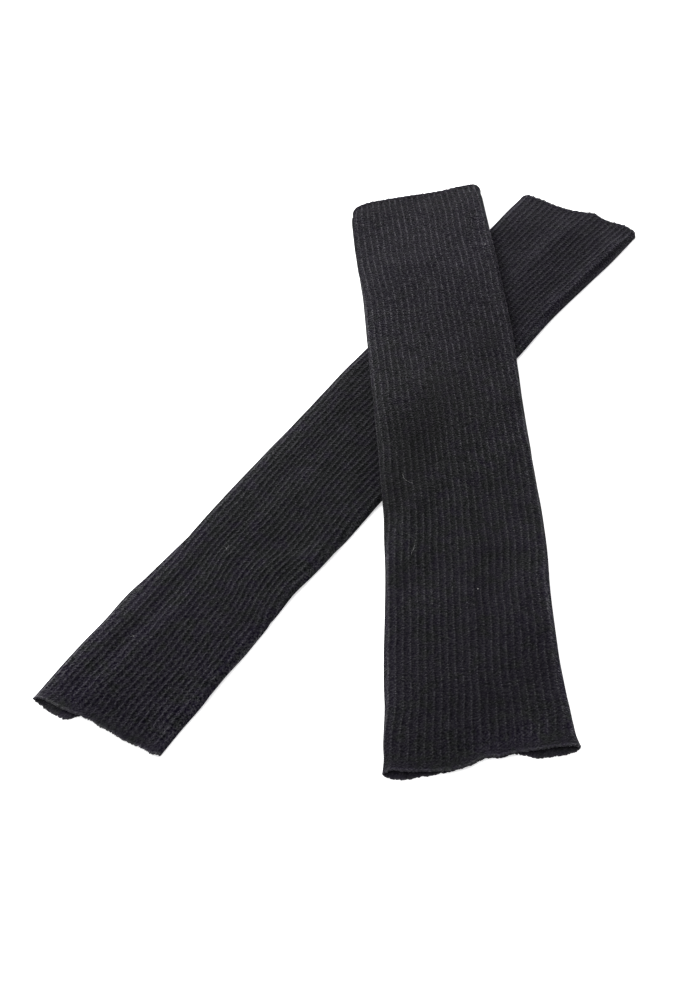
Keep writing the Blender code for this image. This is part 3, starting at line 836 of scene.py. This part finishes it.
# The rib's middle, the stitches' slanting legs and a fuzz of fine noise make one pattern, which
# gives both the colour and the bump. It follows the knit map: ribs across and courses up. The hue is
# drawn in the soft tones alone and the pattern over it in grey, so that the grain has no hue
def knitMaterial():
    material = bpy.data.materials.new("black_rib_knit")
    material.use_nodes = True
    nodes, links = material.node_tree.nodes, material.node_tree.links
    shader = nodes["Principled BSDF"]

    def add(kind, inputs, output=0, **settings):
        node = nodes.new(kind)
        for name, value in settings.items():
            setattr(node, name, value)
        for place, value in inputs.items():
            if isinstance(value, bpy.types.NodeSocket):
                links.new(value, node.inputs[place])
            else:
                node.inputs[place].default_value = value
        return node.outputs[output]

    def calc(operation, *values):
        return add("ShaderNodeMath", dict(enumerate(values)), operation=operation)

    def noise(scale, detail):
        place = add("ShaderNodeTexCoord", {}, "Object")
        inputs = {"Vector": place, "Scale": scale, "Detail": detail, "Roughness": yarn["noiseRoughness"]}
        return add("ShaderNodeTexNoise", inputs, "Fac")

    def stepped(value, low, high, fromLow=0.0, fromHigh=1.0):
        inputs = {"Value": value, "From Min": fromLow, "From Max": fromHigh, "To Min": low, "To Max": high}
        return add("ShaderNodeMapRange", inputs, interpolation_type="SMOOTHSTEP")

    def attribute(label):
        return add("ShaderNodeAttribute", {}, "Fac", attribute_name=label)

    where = add("ShaderNodeUVMap", {}, uv_map="knit")
    rib = add("ShaderNodeSeparateXYZ", {"Vector": where}, "X")
    course = add("ShaderNodeSeparateXYZ", {"Vector": where}, "Y")
    here = add("ShaderNodeTexCoord", {}, "Object")
    upTable = add("ShaderNodeSeparateXYZ", {"Vector": here}, "Y")

    # the grain: fine noise, and far from the camera finer noise less its own coarse part
    nearGrain = noise(yarn["grainScale"], 1.5)
    farGrain = calc("SUBTRACT", noise(yarn["farGrainScale"], 0.0), noise(yarn["farGrainScale"] / 2.0, 1.0))
    farGrain = calc("MULTIPLY_ADD", farGrain, yarn["farGrainGain"], 0.5)
    toFar = stepped(upTable, 0.0, 1.0, *yarn["farSpan"])
    fine = add("ShaderNodeMix", {"Factor": toFar, "A": nearGrain, "B": farGrain}, data_type="FLOAT")
    grain = stepped(fine, -yarn["grainGain"], yarn["grainGain"], *yarn["grainSpan"])
    grain = calc("MAXIMUM", calc("MULTIPLY_ADD", grain, attribute("fuzz"), 1.0), 0.0)

    # the ribs and their stitches
    fromMiddle = calc("ABSOLUTE", calc("SUBTRACT", rib, calc("ROUND", rib)))
    onRib = stepped(fromMiddle, 1.0, 0.0, 0.0, yarn["ribReach"])
    uneven = calc("SUBTRACT", noise(yarn["wobbleScale"], 2.0), 0.5)
    uneven = calc("MULTIPLY", uneven, yarn["wobble"] * 2.0)
    leg = calc("SUBTRACT", calc("ADD", course, uneven), calc("MULTIPLY", fromMiddle, yarn["legSlope"]))
    bars = calc("MULTIPLY_ADD", calc("COSINE", calc("MULTIPLY", leg, 2.0 * np.pi)), yarn["barGain"], 1.0)
    halfRib = calc("FLOOR", calc("MULTIPLY", rib, 2.0))
    stitch = add("ShaderNodeCombineXYZ", {"X": halfRib, "Y": calc("FLOOR", leg)})
    chance = add("ShaderNodeTexWhiteNoise", {"Vector": stitch}, "Value", noise_dimensions="2D")
    chance = calc("MULTIPLY_ADD", chance, 2.0 * yarn["stitchGain"], 1.0 - yarn["stitchGain"])

    # all the parts of the tone, one times the other; the shade attribute brings in painted shade, painted
    # shadows and painted highlights
    shade = attribute("shade")
    stripe = calc("MULTIPLY", attribute("stripe"), yarn["ribGain"])
    tone = calc("MULTIPLY_ADD", onRib, stripe, yarn["ground"])
    clouds = stepped(noise(yarn["cloudScale"], 2.0), *yarn["cloudTones"], *yarn["cloudSpan"])
    for part in (bars, grain, chance, clouds, shade):
        tone = calc("MULTIPLY", tone, part)

    # the hue: violet away from the crossing, mixed in patches
    away = add("ShaderNodeVectorMath", {0: here, 1: yarn["middlePlace"]}, "Value", operation="DISTANCE")
    away = stepped(away, 0.0, 1.0, *yarn["middleReach"])
    away = calc("MULTIPLY_ADD", away, yarn["hueMix"][1] - yarn["hueMix"][0], yarn["hueMix"][0])
    patches = calc("SUBTRACT", noise(yarn["patchScale"], 2.0), 0.5)
    patches = calc("MULTIPLY", patches, stepped(upTable, *yarn["mottle"], *yarn["mottleSpan"]))
    away = calc("ADD", away, patches)
    colours = {"Factor": away, "A": (*yarn["middle"], 1.0), "B": (*yarn["violet"], 1.0)}
    hue = add("ShaderNodeMix", colours, "Result", data_type="RGBA")

    soft = calc("MULTIPLY", calc("MINIMUM", shade, yarn["palestHue"]), yarn["hueShare"])
    hue = add("ShaderNodeVectorMath", {"Vector": hue, "Scale": soft}, operation="SCALE")
    grey = {"Vector": (yarn["grey"],) * 3, "Scale": calc("SUBTRACT", tone, soft)}
    grey = add("ShaderNodeVectorMath", grey, operation="SCALE")
    colour = add("ShaderNodeVectorMath", {0: hue, 1: grey}, operation="ADD")
    colour = add("ShaderNodeVectorMath", {0: colour, 1: (0.0, 0.0, 0.0)}, operation="MAXIMUM")
    height = calc("MULTIPLY_ADD", bars, yarn["stitchDepth"], calc("MULTIPLY", fine, yarn["fuzzDepth"]))
    bump = add("ShaderNodeBump", {"Height": height, "Distance": 1.0, "Strength": 1.0})
    links.new(colour, shader.inputs["Base Color"])
    links.new(bump, shader.inputs["Normal"])
    links.new(calc("MULTIPLY", tone, yarn["sheen"]), shader.inputs["Sheen Weight"])
    shader.inputs["Roughness"].default_value = yarn["roughness"]
    shader.inputs["Specular IOR Level"].default_value = yarn["gloss"]
    shader.inputs["Sheen Roughness"].default_value = yarn["sheenRoughness"]
    shader.inputs["Sheen Tint"].default_value = yarn["sheenTint"]
    return material


# The lower warmer lies level on the table, and nothing presses on the upper one
def onTable(x, y, heightShare):
    return np.zeros_like(x)


def nothingAbove(x, y):
    return np.ones_like(x)


knitLook, fibreLook = knitMaterial(), fibreMaterial()
print("materials made")
lowerKnit = addKnit("lower_knit", lowerWarmer, onTable, freeOfUpper, knitLook)
upperKnit = addKnit("upper_knit", upperWarmer, riseOverLower, nothingAbove, knitLook)
lowerFibres = addFibres("lower_fibres", lowerWarmer, lowerKnit, fibreLook)
upperFibres = addFibres("upper_fibres", upperWarmer, upperKnit, fibreLook)
for piece, node in ((lowerKnit, "lower_warmer"), (upperKnit, "upper_warmer")):
    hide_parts(node)
for piece in (lowerKnit, upperKnit, lowerFibres, upperFibres):
    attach(piece, "root")

# The studio: a pale floor, a plain bright surround and one large soft lamp behind on the left
studio = dict(
    floorSize=30.0,
    floorColour=(0.9, 0.9, 0.9, 1.0),
    floorRoughness=0.9,
    floorGlow=0.55,  # the table is lit from below too
    surroundBack=2.3,
    surroundFront=0.06,
    surroundSpan=(-0.6, 0.9),  # cosines to the bright side, between which the one turns into the other
    brightSide=(-0.35, 0.85, 0.40),  # the direction that the surround is brightest in
    lampPlace=(-0.60, 0.95, 0.66),
    lampAim=(0.0, 0.05, 0.0),
    lampSize=0.6,
    lampPower=16.0,
    cameraPlace=(-0.0123, -0.8903, 0.8017),
    cameraDown=43.1,  # degrees below the horizon
    cameraRoll=-9.94,
    lens=76.0,
)

floorMesh = bpy.data.meshes.new("floor")
reach = studio["floorSize"] / 2.0
floorMesh.from_pydata(
    [(-reach, -reach, 0.0), (reach, -reach, 0.0), (reach, reach, 0.0), (-reach, reach, 0.0)],
    [],
    [(0, 1, 2, 3)],
)
paper = bpy.data.materials.new("white_paper")
paper.use_nodes = True
paperShader = paper.node_tree.nodes["Principled BSDF"]
paperShader.inputs["Base Color"].default_value = studio["floorColour"]
paperShader.inputs["Roughness"].default_value = studio["floorRoughness"]
paperShader.inputs["Emission Color"].default_value = (1.0, 1.0, 1.0, 1.0)
paperShader.inputs["Emission Strength"].default_value = studio["floorGlow"]
floor = addPiece("floor", floorMesh, paper)

world = bpy.data.worlds.new("surround")
world.use_nodes = True
worldNodes, worldLinks = world.node_tree.nodes, world.node_tree.links
direction = worldNodes.new("ShaderNodeTexCoord")
facing = worldNodes.new("ShaderNodeVectorMath")
facing.operation = "DOT_PRODUCT"
facing.inputs[1].default_value = Vector(studio["brightSide"]).normalized()
level = worldNodes.new("ShaderNodeMapRange")
level.inputs["From Min"].default_value, level.inputs["From Max"].default_value = studio["surroundSpan"]
level.inputs["To Min"].default_value = studio["surroundFront"]
level.inputs["To Max"].default_value = studio["surroundBack"]
worldLinks.new(direction.outputs["Generated"], facing.inputs[0])
worldLinks.new(facing.outputs["Value"], level.inputs["Value"])
worldLinks.new(level.outputs["Result"], worldNodes["Background"].inputs["Strength"])
worldNodes["Background"].inputs["Color"].default_value = (1.0, 1.0, 1.0, 1.0)
bpy.context.scene.world = world

lampData = bpy.data.lights.new("key_lamp", "AREA")
lampData.energy = studio["lampPower"]
lampData.shape = "SQUARE"
lampData.size = studio["lampSize"]
lamp = bpy.data.objects.new("key_lamp", lampData)
lamp.location = studio["lampPlace"]
aim = Vector(studio["lampAim"]) - Vector(studio["lampPlace"])
lamp.rotation_euler = aim.to_track_quat("-Z", "Y").to_euler()
bpy.context.scene.collection.objects.link(lamp)

cameraData = bpy.data.cameras.new("camera")
cameraData.lens = studio["lens"]
camera = bpy.data.objects.new("camera", cameraData)
down, roll = np.radians(studio["cameraDown"]), np.radians(studio["cameraRoll"])
right, upward = Vector((1.0, 0.0, 0.0)), Vector((0.0, np.sin(down), np.cos(down)))
back = Vector((0.0, -np.cos(down), np.sin(down)))
sideways = right * np.cos(roll) + upward * np.sin(roll)
upwards = upward * np.cos(roll) - right * np.sin(roll)
pose = Matrix((sideways, upwards, back)).transposed().to_4x4()
pose.translation = Vector(studio["cameraPlace"])
camera.matrix_world = pose
bpy.context.scene.collection.objects.link(camera)
bpy.context.scene.camera = camera
bpy.context.scene.view_settings.view_transform = "Standard"
print("studio set")
